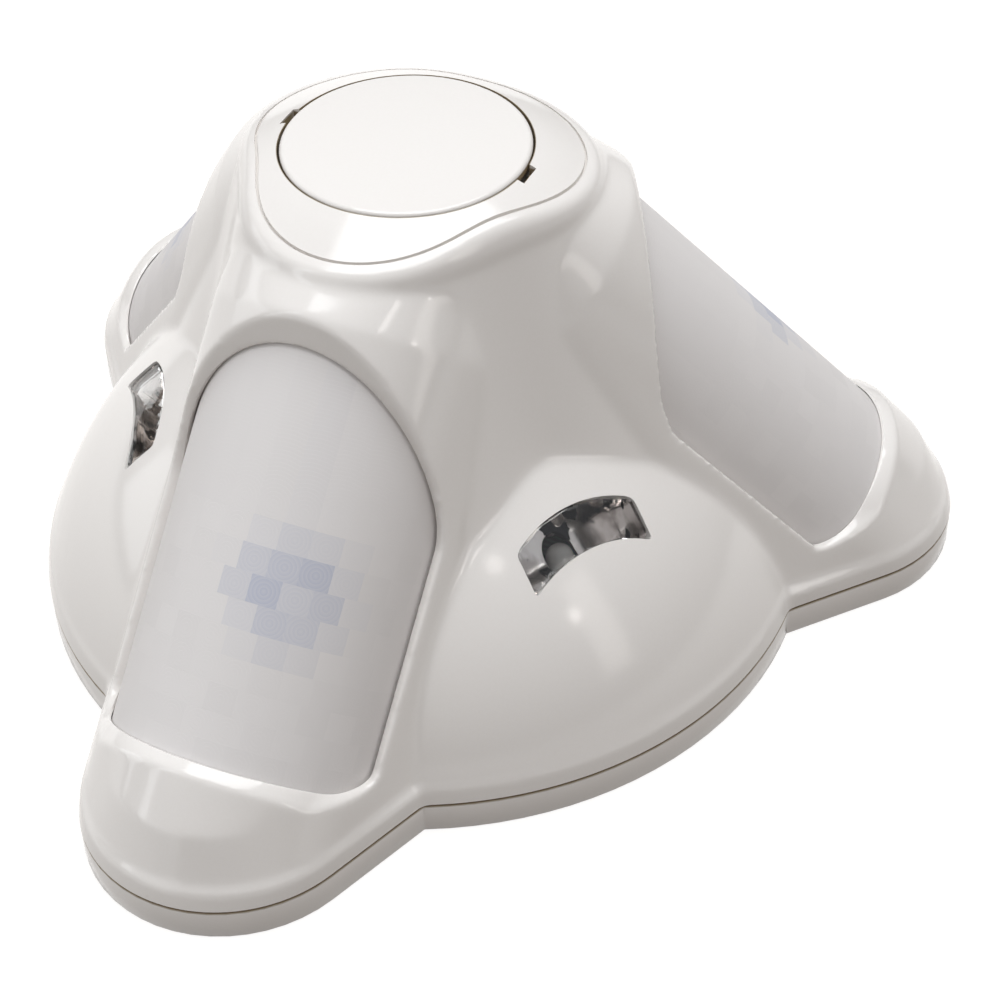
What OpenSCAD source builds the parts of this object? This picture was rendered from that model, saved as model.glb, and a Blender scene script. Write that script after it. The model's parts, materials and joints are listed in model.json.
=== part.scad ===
// Ceiling motion sensor. A three-legged housing carries a lens on each leg, a dome with an
// indicator window between each pair of legs, and a central tower closed by a round cap.
// The origin is the centre of the mounting face, +Z runs up the tower and the front leg
// points along -Y. Sizes are in millimetres.

/* [Plan outline] */
// Distance from the axis to the tip of each leg
leg_reach = 104; // [103:0.1:106]
// Radius of the rounded end of each leg
leg_end_r = 26.3; // [25.8:0.1:27]
// Angle by which each side of a leg widens towards the tower
leg_taper = 20; // [19:0.1:21]
// Width of the ledge between the foot of a dome and the edge of the housing
dome_ledge = 0.32; // [0.3:0.01:0.5]

/* [Base] */
// Thickness of the base floor
floor_t = 2.4; // [2:0.1:3]
// Height of the base rim above the mounting face
rim_h = 6.2; // [5.8:0.1:6.6]
// Thickness of the base rim
rim_t = 4.2; // [4.1:0.1:4.6]
// Height of the tongue that locates the cover
tongue_h = 2; // [1.4:0.1:2.2]
// Thickness of that tongue
tongue_t = 1.4; // [1:0.1:1.6]
// Radius of the cable inlet in the floor
cable_r = 7; // [5:0.5:8]
// Distance of the cable inlet from the axis
cable_at = 27; // [25:0.5:29]
// Radius of the mounting screw holes, one in each leg
mount_hole_r = 2.25; // [1.8:0.05:2.8]
// Diameter of the circle through those holes
mount_pcd = 176; // [174:0.5:179]
// Radius of the boss round each mounting hole
mount_boss_r = 5.5; // [4.5:0.1:6]
// Height of that boss above the floor
mount_boss_h = 2; // [1:0.1:3]

/* [Front cover] */
// Wall of the domes and the tower
cover_wall = 2.5; // [2:0.1:2.8]
// Height of the skirt above the parting line
skirt_h = 3.4; // [3:0.1:3.8]
// Amount by which the skirt draws in towards its top
skirt_draft = 0.7; // [0.4:0.1:0.8]
// Radius of the sphere that the three domes belong to
dome_r = 77.6; // [77:0.1:77.8]
// Depth of that sphere's centre below the mounting face
dome_sink = 17.2; // [17:0.1:18]
// Radius of the nose of a leg at its fullest height
nose_r = 20.3; // [19.5:0.1:21.5]
// Height of that fullest point
nose_z = 18.5; // [17:0.5:20]
// Height of the hollow inside a nose
nose_hollow_z = 20; // [17:0.5:21]
// Radius at the top of that hollow
nose_hollow_r = 15; // [13:0.5:16]

/* [Tower] */
// Height at which the tower's shoulder starts to round over
shoulder_z = 87.2; // [86.8:0.1:87.6]
// Offset of each lobe from the axis at the shoulder
lobe_out = 11.7; // [11.5:0.1:12]
// Radius of each lobe at the shoulder
lobe_r = 22.8; // [22.4:0.1:23.2]
// Outward lean of the lobes for each millimetre down the tower
lobe_lean = 0.25; // [0.23:0.005:0.27]
// Growth of a lobe's radius for each millimetre down the tower
lobe_draft = 0.24; // [0.23:0.005:0.25]
// Length of a leg's crown above the head of its lens
crown_up = 5.5; // [5:0.1:6]
// Height of that crown over its half width
crown_rise = 1.07; // [1.05:0.01:1.09]
// Softness of the troughs where two lobes meet
lobe_blend = 4.5; // [4:0.1:5]
// Offset of the lobes of the raised ring on top
ring_out = 11.5; // [11:0.1:12]
// Radius of the lobes of that ring
ring_r = 19.3; // [19:0.1:19.8]
// Radius of the crowned top
crown_r = 64.5; // [60:0.5:70]
// Width of the groove round the raised ring
groove_w = 0.5; // [0.3:0.1:1]
// Depth of that groove
groove_d = 0.7; // [0.4:0.1:1]

/* [Cap] */
// Overall height, at the cap's flat top
cap_top = 94.9; // [94.4:0.1:96]
// Radius of the cap
cap_r = 22; // [21:0.1:22.5]
// Thickness of the cap's disc
cap_disc_t = 2; // [1.6:0.1:2.4]
// Depth of the snap ring below the disc
snap_h = 2; // [1.6:0.1:2.4]
// Outer radius of the snap ring
snap_r = 19; // [16:0.5:19.5]
// Thickness of the snap ring
snap_t = 1.4; // [1:0.1:2]
// Bevel round the cap's top edge
cap_bevel = 0.5; // [0.2:0.1:0.8]
// Gap round the cap
cap_gap = 0.35; // [0.3:0.05:0.6]
// Width of a pry slot along the cap's edge
pry_w = 5; // [4:0.1:6]
// Reach of a pry slot beyond the cap's gap
pry_out = 1.2; // [0.8:0.1:1.4]
// Depth of a pry slot below the cap's top
pry_d = 2.6; // [2:0.1:3]

/* [Lenses] */
// Radius of a lens, which is part of a cylinder
lens_r = 25.1; // [24.9:0.1:25.5]
// Slope of the lens axis below the horizontal
lens_slope = 47.5; // [46.5:0.5:48.5]
// Distance of the sensing point from the tower's axis
axis_r = 47.5; // [47:0.1:48]
// Height of the sensing point
axis_z = 33.4; // [33:0.1:34]
// Half the width of a lens opening
lens_half_w = 24.6; // [24:0.1:24.7]
// Length of the opening from the sensing point down the slope
lens_low = 32.5; // [31.5:0.1:33]
// Straight length of the opening up the slope from the sensing point
lens_up = 10.9; // [10:0.1:12]
// Rise of the arch above the straight part
arch_h = 27; // [26:0.1:27.5]
// Corner radius at the foot of the opening
lens_corner = 4.2; // [3:0.1:6]
// Thickness of a lens
lens_t = 1; // [0.8:0.1:1.2]
// Width of the flange hidden behind the opening's edge
lens_flange = 1.2; // [0.8:0.1:1.5]
// Thickness of the cover beside a lens
lip_t = 2.1; // [1.9:0.1:2.4]
// Straight land of the opening before its lip flares
lip_land = 0.4; // [0.2:0.1:0.6]
// Angle of the flared lip from the direction that the lens faces
lip_flare = 53; // [48:1:56]
// Width of the frame that clamps a lens
frame_w = 2.2; // [1.8:0.1:3]
// Thickness of that frame
frame_t = 1.2; // [1:0.1:1.6]

/* [Dome windows] */
// Angle of a window from the top of its dome sphere
window_tilt = 40.5; // [40:0.1:41]
// Half the length of a window
window_half = 12.4; // [11:0.1:13]
// Width of a window
window_w = 8; // [7:0.1:8.5]
// Radius of a window's curved edges
window_arc = 24; // [22:0.5:30]
// Corner radius of a window
window_corner = 1.2; // [0.8:0.1:1.6]
// Width of the flange behind a window
window_flange = 1.2; // [0.8:0.1:1.6]
// Thickness of that flange
window_flange_t = 1; // [0.8:0.1:1.2]
// Depth of a window's face below the dome
window_sink = 0.4; // [0.2:0.1:0.8]
// Depth of a reflector behind its window
reflector_d = 9.7; // [8:0.1:10]
// Wall of a reflector
reflector_t = 0.8; // [0.6:0.1:1]
// Slack between a reflector's wall and its window's edge
reflector_slack = 0.8; // [0.5:0.1:1]

/* [Sensor carrier] */
// Height of the main board's underside
board_z = 9.6; // [9.4:0.1:10]
// Thickness of the circuit boards
board_t = 1.6; // [1:0.1:1.6]
// Clear space between the main board and the base rim
board_margin = 3.2; // [2.5:0.1:4]
// Radius of the board's tongue in each leg
board_lobe_r = 18; // [16:0.5:19]
// Distance of those tongues from the axis
board_lobe_at = 61; // [58:0.5:62]
// Radius of the carrier's hub
hub_r = 12; // [10:0.5:13]
// Wall of the hub
hub_wall = 2.5; // [2.3:0.1:3]
// Radius of the post above the hub
post_r = 5; // [4.2:0.1:6]
// Distance between the two ribs of an arm
rib_gap = 18; // [16:0.5:20]
// Thickness of a rib
rib_t = 2; // [1.6:0.1:2.4]
// Reach of the ribs past the sensing point
rib_reach = 7.5; // [5.5:0.5:8.5]
// Thickness of the foot between two ribs
foot_t = 2; // [1.6:0.1:2.6]
// Distance of the foot's screw from the axis
foot_screw_at = 21; // [19:0.5:23]
// Length of a sensor board
sensor_board_l = 30; // [26:0.5:32]
// Width of a sensor board
sensor_board_w = 24; // [22:0.5:26]
// Height of a pyroelectric can above its board
pyro_h = 4.2; // [3.6:0.1:4.6]
// Radius of that can
pyro_r = 4.1; // [3.6:0.1:4.5]

/* [Board parts] */
// Depth below the dome of the spot that a lamp points at
led_depth = 9.85; // [9.5:0.05:10.5]
// Radius of an indicator lamp
led_r = 2.5; // [2:0.1:2.8]
// Height of the spacer under a lamp
led_spacer_h = 12.6; // [12:0.1:13]
// Height of a lamp above its spacer
led_h = 8.6; // [8:0.1:9]
// Distance of the cover tamper switch outside the lamp beside it
tamper_at = 12; // [11:0.1:13]
// Height of the tamper switch's body
tamper_h = 4; // [3.5:0.1:4.5]
// Height of its plunger above the body
tamper_plunger_h = 2.8; // [2.4:0.1:3.2]
// Radius of the switch plungers
plunger_r = 1.2; // [1:0.1:1.4]
// Screw poles on the terminal block
terminal_poles = 6; // [4:1:6]
// Distance between two poles
terminal_pitch = 5; // [4.5:0.1:5.2]
// Switches in the setting bank
dip_count = 4; // [4]
// Distance between two of those switches
dip_pitch = 2.54; // [2.4:0.02:2.7]
// Travel of a setting switch
dip_travel = 1.4; // [1:0.1:1.6]
// Radius of the range trimmer's rotor
rotor_r = 2.4; // [2:0.1:2.6]

/* [Fits] */
// Gap between base rim and cover, seen as the parting line
split_gap = 0.4; // [0.3:0.05:0.6]
// Gap between the cover's skirt and the base's tongue
fit_gap = 0.35; // [0.3:0.05:0.5]
// Gap between pieces that are glued or clipped together
seat_gap = 0.1; // [0.05:0.05:0.15]
// Gap round a piece that slides or turns
slide_gap = 0.2; // [0.15:0.05:0.3]
// Gap between a screw's shank and its hole
screw_gap = 0.15; // [0.1:0.05:0.3]

/* [Hidden] */
$fn = 64;
LEGS = [-90, 30, 150];
DOMES = [-30, 90, 210];

SHELL = "#ECE9E4";
LENS = "#DCDEE0";
CLEAR = "#C9CFD2";
CHROME = "#B9BCC0";
BOARD = "#2F6B45";
STEEL = "#A9ABAE";
BRASS = "#B99A4B";
BLACK = "#26272A";
MOULD = "#D7D4CE";
SETTING = "#2E5FA3";

// Smallest overlap that makes two joined shapes one
eps = 0.2;
// Larger than any piece, for cutting away half of space
far = 300;
hull_fn = 48;

// Levels up the housing
split_z = rim_h + split_gap;
skirt_z = split_z + skirt_h;
tongue_z = rim_h + tongue_h;
skirt_inset = rim_t - tongue_t - fit_gap;
skirt_ledge = 0.4;
dome_edge_r = sqrt(pow(dome_r, 2) - pow(skirt_z + dome_sink, 2)) + dome_ledge + skirt_draft;
skirt_scale = 1 - skirt_draft / dome_edge_r;
leg_at = leg_reach - leg_end_r;
notch_turn = asin((leg_at * sin(leg_taper) + leg_end_r) / dome_edge_r) - leg_taper;
notch_at = dome_edge_r * cos(notch_turn);
root_in = 2;
leg_root = dome_edge_r * sin(notch_turn) - skirt_draft - skirt_ledge;
leg_r = lens_r + lip_t;

// Cap, its recess and the screw under it
recess_r = cap_r + cap_gap;
recess_z = cap_top - cap_disc_t - snap_h - cap_gap;
cavity_z = recess_z - cover_wall;
cover_screw_r = 1.5;
screw_head_r = 3.2;
screw_head_h = 2;
boss_r = 6;
boss_h = 3;
post_z = cavity_z - boss_h - split_gap;
insert_r = 3;
insert_h = 8;
crown_z0 = cap_top - cap_bevel / 2 - sqrt(crown_r * crown_r - cap_r * cap_r);

// Main board and the stack of sensor board and can below the lens axis
board_top = board_z + board_t;
board_r = dome_edge_r - rim_t - board_margin;
can_gap = 0.3;
stack_h = can_gap + pyro_h + board_t;
led_at = (dome_r - led_depth) * sin(window_tilt);
screw_r = 1.4;
head_r = 2.8;
head_h = 2;
screw_post_r = 3.6;
screw_depth = 6;
board_screw_at = 56;
board_screw_turn = 22;

// Switch and trimmer bodies
switch_w = 6;
plunger_hole_d = 3;
tamper_stop_z = board_top + tamper_h + tamper_plunger_h + split_gap;
tamper_stop_r = 2.5;
rear_switch_h = 3.6;
rear_at = 36;
rear_turn = -52;
trimmer_w = 6.8;
trimmer_h = 4;
trimmer_at = board_r - 10.3;
rotor_h = 1.7;
dip_at = 26.5;
dip_w = 6.5;
dip_h = 4.5;
slider_l = 1.5;
slider_w = 1.3;
slider_up = 0.5;
dip_slot_d = 1.2;
dip_slot_l = slider_l + dip_travel + 2 * slide_gap;
terminal_at = board_r - 9.3;
terminal_d = 8;
terminal_h = 9.5;
terminal_l = terminal_poles * terminal_pitch;
terminal_screw_r = 1.7;
terminal_screw_h = 1.6;
terminal_recess_d = 2.4;

// Radius of one lobe seen from the axis, at angle f from the lobe's own direction
function lobe_ray(f, d, r) = d * cos(f) + sqrt(r * r - pow(d * sin(f), 2));

// Radius of the three lobes melted into one outline, at angle f
function tower_r(f, d, r) =
    lobe_blend * ln(
        exp(lobe_ray(f - LEGS[0], d, r) / lobe_blend)
        + exp(lobe_ray(f - LEGS[1], d, r) / lobe_blend)
        + exp(lobe_ray(f - LEGS[2], d, r) / lobe_blend)
    );

// Offset and radius of the lobes at height z on the straight part of the tower
function lobe_d(z) = lobe_out + lobe_lean * (shoulder_z - z);
function lobe_size(z) = lobe_r + lobe_draft * (shoulder_z - z);

// Height of the crowned top at distance r from the axis
function crown_z(r) = crown_z0 + sqrt(crown_r * crown_r - r * r);

// Height of a carrier rib's sloping edge at distance r from the axis
function rib_z(r) =
    axis_z - stack_h * cos(lens_slope) - (r - axis_r + stack_h * sin(lens_slope)) * tan(lens_slope);

// Joins rings of points, each going anticlockwise, and closes both ends on a centre point
module loft(rings, low, high) {
    n = len(rings[0]);
    k = len(rings);
    points = concat([for (ring = rings) each ring], [low, high]);
    sides = [
        for (j = [0 : k - 2], i = [0 : n - 1])
            let (a = j * n + i, b = j * n + (i + 1) % n)
            each [[a, a + n, b + n], [a, b + n, b]]
    ];
    ends = [
        for (i = [0 : n - 1])
            let (b = (i + 1) % n, t = (k - 1) * n)
            each [[k * n, i, b], [k * n + 1, t + b, t + i]]
    ];
    polyhedron(points, concat(sides, ends));
}

// Plan outline drawn in by inset: a round leg end, its two widening sides, then a dome's arc
function plan_outline(inset) =
    let (
        end_r = leg_end_r - inset,
        edge_r = dome_edge_r - inset,
        notch = asin((leg_at * sin(leg_taper) + end_r) / edge_r) - leg_taper,
        tip = 90 - leg_taper,
        n = 10
    )
    [
        for (a = LEGS)
            each concat(
                [
                    for (k = [-n : n])
                        let (q = a + tip * k / n)
                        [leg_at * cos(a) + end_r * cos(q), leg_at * sin(a) + end_r * sin(q)]
                ],
                [
                    for (k = [-n : n])
                        let (q = a + 60 + (60 - notch) * k / n)
                        [edge_r * cos(q), edge_r * sin(q)]
                ]
            )
    ];

// Slab of the plan outline, drawn in by inset
module plan_slab(z0, z1, inset) {
    translate([0, 0, z0])
        linear_extrude(z1 - z0)
            polygon(plan_outline(inset));
}

// Part of a ball above height z, about the centre of the dome sphere
module dome_ball(r, z) {
    intersection() {
        translate([0, 0, -dome_sink])
            sphere(r);
        translate([-far, -far, z])
            cube(2 * far);
    }
}

// Lens frame of one leg: X runs down the slope, Y across, Z out through the lens
module tilt() {
    translate([axis_r, 0, axis_z])
        rotate([0, lens_slope, 0])
            children();
}

// Cylinder along the lens axis from x0 to x1
module lens_bar(x0, x1, r, fn = $fn) {
    translate([x0, 0, 0])
        rotate([0, 90, 0])
            cylinder(h = x1 - x0, r = r, $fn = fn);
}

// Outline of a lens opening, grown by g: rounded foot, straight sides and an arched head
function lens_outline(g) =
    let (half = lens_half_w + g, low = lens_low + g, c = lens_corner + g)
    concat(
        [for (q = [0 : 22.5 : 90]) [low - c + c * cos(q), half - c + c * sin(q)]],
        [for (q = [0 : 7.5 : 180]) [-lens_up - (arch_h + g) * sin(q), half * cos(q)]],
        [for (q = [90 : -22.5 : 0]) [low - c + c * cos(q), c - half - c * sin(q)]],
        [for (k = [-0.8 : 0.2 : 0.8]) [low, k * (half - c)]]
    );

// Lens opening grown by g, laid on the lens cylinder and lifted off it
function lens_ring(g, lift) =
    let (seat = lens_outline(0), edge = lens_outline(g))
    [
        for (i = [0 : len(seat) - 1])
            [edge[i][0], edge[i][1], sqrt(lens_r * lens_r - pow(seat[i][1], 2)) + lift]
    ];

// Pocket that bares a lens: a straight land, then the flared lip
module lens_pocket() {
    rise = 12;
    under = 1.5;
    loft(
        [
            lens_ring(0, -under),
            lens_ring(0, lip_land),
            lens_ring(rise * tan(lip_flare), lip_land + rise)
        ],
        [0, 0, 0],
        [0, 0, lens_r + 2 * rise]
    );
}

// Tower with its rounded shoulder, up to the groove round the raised ring
module tower() {
    step = 6;
    angles = [0 : step : 360 - step];
    foot_z = skirt_z - 0.5;
    edge_r = ring_r + groove_w;
    straight = [
        for (k = [0 : 3])
            let (z = foot_z + k / 3 * (shoulder_z - foot_z))
            [for (f = angles) let (r = tower_r(f, lobe_d(z), lobe_size(z))) [r * cos(f), r * sin(f), z]]
    ];
    shoulder = [
        for (q = [18 : 18 : 90])
            let (
                d = ring_out + (lobe_out - ring_out) * cos(q),
                size = edge_r + (lobe_r - edge_r) * cos(q)
            )
            [
                for (f = angles)
                    let (
                        r = tower_r(f, d, size),
                        edge_z = crown_z(tower_r(f, ring_out, edge_r))
                    )
                    [r * cos(f), r * sin(f), shoulder_z + (edge_z - shoulder_z) * sin(q)]
            ]
    ];
    edge = shoulder[len(shoulder) - 1];
    groove = [for (p = edge) [p[0], p[1], p[2] - groove_d]];
    loft(concat(straight, shoulder, [groove]), [0, 0, foot_z], [0, 0, recess_z - eps]);
}

// Raised three-lobed ring on top, crowned like a lens
module crown() {
    step = 6;
    intersection() {
        translate([0, 0, shoulder_z])
            linear_extrude(cap_top - shoulder_z + 5)
                polygon([for (f = [0 : step : 360 - step])
                    let (r = tower_r(f, ring_out, ring_r))
                    [r * cos(f), r * sin(f)]]);
        translate([0, 0, crown_z0])
            sphere(crown_r);
    }
}

// One leg: a tilted barrel with upright sides that runs up to the shoulder, and the nose below its lens
module leg() {
    nose_x = lens_low + lip_t + lip_land;
    head_x = -lens_up - arch_h - crown_up;
    foot_z = skirt_z - 2 * eps;
    hull() {
        tilt() {
            lens_bar(0, nose_x, leg_r, hull_fn);
            scale([1, 1, crown_rise])
                lens_bar(head_x, head_x + eps, leg_r, hull_fn);
        }
        translate([lobe_out, 0, shoulder_z + 1.4])
            cylinder(h = eps, r = lobe_r - 1.1, $fn = hull_fn);
        translate([leg_at, 0, nose_z])
            cylinder(h = eps, r = nose_r, $fn = hull_fn);
        translate([leg_at * skirt_scale, 0, foot_z])
            cylinder(h = eps, r = leg_end_r * skirt_scale - skirt_ledge, $fn = hull_fn);
        translate([axis_r / 2, -leg_root, foot_z])
            cube([notch_at - root_in - axis_r / 2, 2 * leg_root, eps]);
    }
}

// Hollow of the cover, with the screw boss and the tamper stop left standing
module cover_hollow() {
    dip_z = split_z;
    dip_wall = cover_wall * 1.15;
    r_low = tower_r(DOMES[0], lobe_d(dip_z), lobe_size(dip_z)) - dip_wall;
    r_high = tower_r(DOMES[0], lobe_out, lobe_r) - dip_wall;
    r_top = r_high - (r_low - r_high) * (cavity_z - shoulder_z) / (shoulder_z - dip_z);
    lens_end = lens_flange + 0.3;
    difference() {
        union() {
            plan_slab(split_z - 1, tongue_z + fit_gap, skirt_inset);
            dome_ball(dome_r - cover_wall, tongue_z + fit_gap - eps);
            translate([0, 0, dip_z])
                cylinder(h = cavity_z - dip_z, r1 = r_low, r2 = r_top);
            for (a = LEGS)
                rotate(a) {
                    tilt() lens_bar(-lens_up - arch_h - lens_end, lens_low + lens_end, lens_r + seat_gap);
                    translate([leg_at, 0, split_z - 1])
                        cylinder(
                            h = nose_hollow_z - split_z + 1,
                            r1 = leg_end_r - skirt_inset - 1,
                            r2 = nose_hollow_r
                        );
                }
        }
        translate([0, 0, cavity_z - boss_h])
            cylinder(h = boss_h + 1, r = boss_r);
        rotate(DOMES[0])
            translate([led_at + tamper_at, 0, tamper_stop_z])
                cylinder(h = far, r = tamper_stop_r);
    }
}

// Window frame of one dome: Z points out through the window, X down the dome
module dome_tilt() {
    translate([0, 0, -dome_sink])
        rotate([0, window_tilt, 0])
            children();
}

// Outline of a dome window, grown by g: two equal arcs with rounded corners
module window_outline(g) {
    top = window_arc - window_w / 2;
    offset(r = window_corner + g, $fn = 24)
        offset(delta = -window_corner)
            intersection() {
                difference() {
                    translate([top, 0])
                        circle(window_arc);
                    translate([top + window_w, 0])
                        circle(window_arc);
                }
                translate([-window_arc, -window_half])
                    square([2 * window_arc, 2 * window_half]);
            }
}

// Column of a window's outline, from the dome's centre outwards
module window_column(g) {
    translate([0, 0, dome_r / 2])
        linear_extrude(dome_r)
            window_outline(g);
}

// Part of a ball between two radii
module ball_shell(r0, r1) {
    difference() {
        sphere(r1);
        sphere(r0);
    }
}

// Plate with its corners cut off
module cut_plate(x, y, t, c) {
    linear_extrude(t)
        polygon([
            [x / 2 - c, -y / 2], [x / 2, c - y / 2], [x / 2, y / 2 - c], [x / 2 - c, y / 2],
            [c - x / 2, y / 2], [-x / 2, y / 2 - c], [-x / 2, c - y / 2], [c - x / 2, -y / 2]
        ]);
}

// Places of the screws that hold the main board
module at_board_screws() {
    for (a = DOMES)
        rotate(a + board_screw_turn)
            translate([board_screw_at, 0, 0])
                children();
}

// Places of the screws that hold the sensor carrier
module at_carrier_screws() {
    for (a = LEGS)
        rotate(a)
            translate([foot_screw_at, 0, 0])
                children();
}

// Screw standing on level z, head up
module board_screw(z, shank) {
    slot_w = 0.8;
    translate([0, 0, z])
        difference() {
            union() {
                cylinder(h = head_h, r1 = head_r, r2 = head_r * 0.8);
                translate([0, 0, -shank])
                    cylinder(h = shank + eps, r = screw_r);
            }
            for (q = [0, 90])
                rotate(q)
                    translate([-head_r / 2, -slot_w / 2, head_h / 2])
                        cube([head_r, slot_w, head_h]);
        }
}

module base() {
    color(SHELL)
        difference() {
            union() {
                difference() {
                    union() {
                        plan_slab(0, rim_h, 0);
                        plan_slab(rim_h - eps, tongue_z, rim_t - tongue_t);
                    }
                    plan_slab(floor_t, tongue_z + 1, rim_t);
                }
                at_board_screws()
                    translate([0, 0, floor_t - eps])
                        cylinder(h = board_z - floor_t + eps, r = screw_post_r);
                at_carrier_screws()
                    translate([0, 0, floor_t - eps])
                        cylinder(h = board_z - floor_t + eps, r = screw_post_r);
                for (a = LEGS)
                    rotate(a)
                        translate([mount_pcd / 2, 0, floor_t - eps])
                            cylinder(h = mount_boss_h + eps, r = mount_boss_r);
            }
            at_board_screws()
                translate([0, 0, board_z - screw_depth])
                    cylinder(h = screw_depth + 1, r = screw_r + screw_gap);
            at_carrier_screws()
                translate([0, 0, board_z - screw_depth])
                    cylinder(h = screw_depth + 1, r = screw_r + screw_gap);
            for (a = LEGS)
                rotate(a)
                    translate([mount_pcd / 2, 0, -1])
                        cylinder(h = floor_t + mount_boss_h + 2, r = mount_hole_r);
            rotate(DOMES[1])
                translate([cable_at, 0, -1])
                    cylinder(h = floor_t + 2, r = cable_r);
            rotate(rear_turn)
                translate([rear_at, 0, -1])
                    cylinder(h = floor_t + 2, r = plunger_r + slide_gap);
        }
}

module main_board() {
    color(BOARD)
        translate([0, 0, board_z])
            difference() {
                union() {
                    cylinder(h = board_t, r = board_r);
                    for (a = LEGS)
                        rotate(a)
                            translate([board_lobe_at, 0, 0])
                                cylinder(h = board_t, r = board_lobe_r);
                }
                translate([0, 0, -1]) {
                    at_board_screws() cylinder(h = board_t + 2, r = screw_r + screw_gap);
                    at_carrier_screws() cylinder(h = board_t + 2, r = screw_r + screw_gap);
                    rotate(DOMES[1])
                        translate([cable_at, 0, 0])
                            cylinder(h = board_t + 2, r = cable_r + 0.5);
                }
            }
}

module board_screws() {
    color(STEEL)
        at_board_screws()
            board_screw(board_top, board_t + screw_depth - 1);
}

module carrier_screws() {
    color(STEEL)
        at_carrier_screws()
            board_screw(board_top + foot_t, foot_t + board_t + screw_depth - 1);
}

module sensor_carrier() {
    hub_z = rib_z(hub_r);
    rib_in = hub_r / 2;
    rib_end = axis_r + rib_reach;
    rib_low = board_top + fit_gap;
    color(MOULD)
        difference() {
            union() {
                translate([0, 0, board_top])
                    cylinder(h = hub_z - board_top, r = hub_r);
                translate([0, 0, board_top])
                    cylinder(h = post_z - board_top, r = post_r);
                for (a = LEGS)
                    rotate(a) {
                        for (s = [-1, 1])
                            translate([0, s * rib_gap / 2 + rib_t / 2, 0])
                                rotate([90, 0, 0])
                                    linear_extrude(rib_t)
                                        polygon([
                                            [rib_in, rib_low], [rib_end, rib_low],
                                            [rib_end, rib_z(rib_end)], [hub_r - 1, rib_z(hub_r - 1)],
                                            [rib_in, rib_z(hub_r - 1)]
                                        ]);
                        translate([hub_r - 2, -rib_gap / 2, board_top])
                            cube([foot_screw_at + head_r + 1 - hub_r + 2, rib_gap, foot_t]);
                    }
            }
            translate([0, 0, board_top - 1])
                cylinder(h = hub_z - board_top - 2, r = hub_r - hub_wall);
            translate([0, 0, post_z - insert_h])
                cylinder(h = insert_h + 1, r = insert_r + seat_gap);
            translate([0, 0, post_z - 2 * insert_h])
                cylinder(h = 2 * insert_h, r = cover_screw_r + fit_gap);
            at_carrier_screws()
                translate([0, 0, board_top - 1])
                    cylinder(h = foot_t + 2, r = screw_r + screw_gap);
        }
}

module threaded_insert() {
    color(BRASS)
        translate([0, 0, post_z - insert_h])
            difference() {
                cylinder(h = insert_h, r = insert_r);
                translate([0, 0, -1])
                    cylinder(h = insert_h + 2, r = cover_screw_r + fit_gap);
            }
}

module sensor_board(a) {
    color(BOARD)
        rotate(a)
            tilt()
                translate([0, 0, -stack_h])
                    cut_plate(sensor_board_l, sensor_board_w, board_t, 2);
}

module pyro_sensor(a) {
    flange_r = pyro_r + 0.5;
    flange_h = 0.8;
    window = [4, 3, 0.4];
    color(STEEL)
        rotate(a)
            tilt()
                translate([0, 0, -can_gap - pyro_h])
                    difference() {
                        union() {
                            cylinder(h = flange_h, r = flange_r);
                            cylinder(h = pyro_h, r = pyro_r);
                        }
                        translate([-window[0] / 2, -window[1] / 2, pyro_h - window[2]])
                            cube([window[0], window[1], 1]);
                    }
}

module led_spacers() {
    color(BLACK)
        for (a = DOMES)
            rotate(a)
                translate([led_at, 0, board_top])
                    cylinder(h = led_spacer_h, r1 = led_r + 1.2, r2 = led_r + 0.4);
}

module indicator_led(a) {
    flange_r = led_r + 0.4;
    flange_h = 1;
    color("#C8463C")
        rotate(a)
            translate([led_at, 0, board_top + led_spacer_h]) {
                cylinder(h = flange_h, r = flange_r);
                cylinder(h = led_h - led_r, r = led_r);
                translate([0, 0, led_h - led_r])
                    sphere(led_r);
            }
}

// Places along the terminal block, one for each pole
module at_poles() {
    for (i = [0 : terminal_poles - 1])
        translate([0, (i + 0.5) * terminal_pitch - terminal_l / 2, 0])
            children();
}

module terminal_block() {
    wire_r = 1.6;
    wire_z = 3;
    lean = 2;
    color("#3C7A4C")
        rotate(DOMES[1])
            translate([terminal_at, 0, board_top])
                difference() {
                    translate([0, terminal_l / 2, 0])
                        rotate([90, 0, 0])
                            linear_extrude(terminal_l)
                                polygon([
                                    [-terminal_d / 2, 0], [terminal_d / 2, 0], [terminal_d / 2, terminal_h],
                                    [lean - terminal_d / 2, terminal_h], [-terminal_d / 2, terminal_h / 2]
                                ]);
                    at_poles() {
                        translate([lean / 2, 0, terminal_h - terminal_recess_d])
                            cylinder(h = terminal_h, r = terminal_screw_r + screw_gap);
                        translate([-terminal_d, 0, wire_z])
                            rotate([0, 90, 0])
                                cylinder(h = terminal_d, r = wire_r);
                    }
                }
}

module terminal_screws() {
    lean = 2;
    slot_w = 0.7;
    color(STEEL)
        rotate(DOMES[1])
            translate([terminal_at, 0, board_top])
                at_poles()
                    translate([lean / 2, 0, terminal_h - terminal_recess_d])
                        difference() {
                            cylinder(h = terminal_screw_h, r = terminal_screw_r);
                            translate([-terminal_screw_r, -slot_w / 2, terminal_screw_h / 2])
                                cube([2 * terminal_screw_r, slot_w, terminal_screw_h]);
                        }
}

module relay() {
    size = [10, 15, 10];
    bevel = 0.8;
    color(BLACK)
        rotate(DOMES[2])
            translate([27, 0, board_top]) {
                cut_plate(size[0], size[1], size[2] - bevel, bevel);
                translate([0, 0, size[2] - bevel - eps])
                    cut_plate(size[0] - bevel, size[1] - bevel, bevel + eps, bevel);
            }
}

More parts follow.
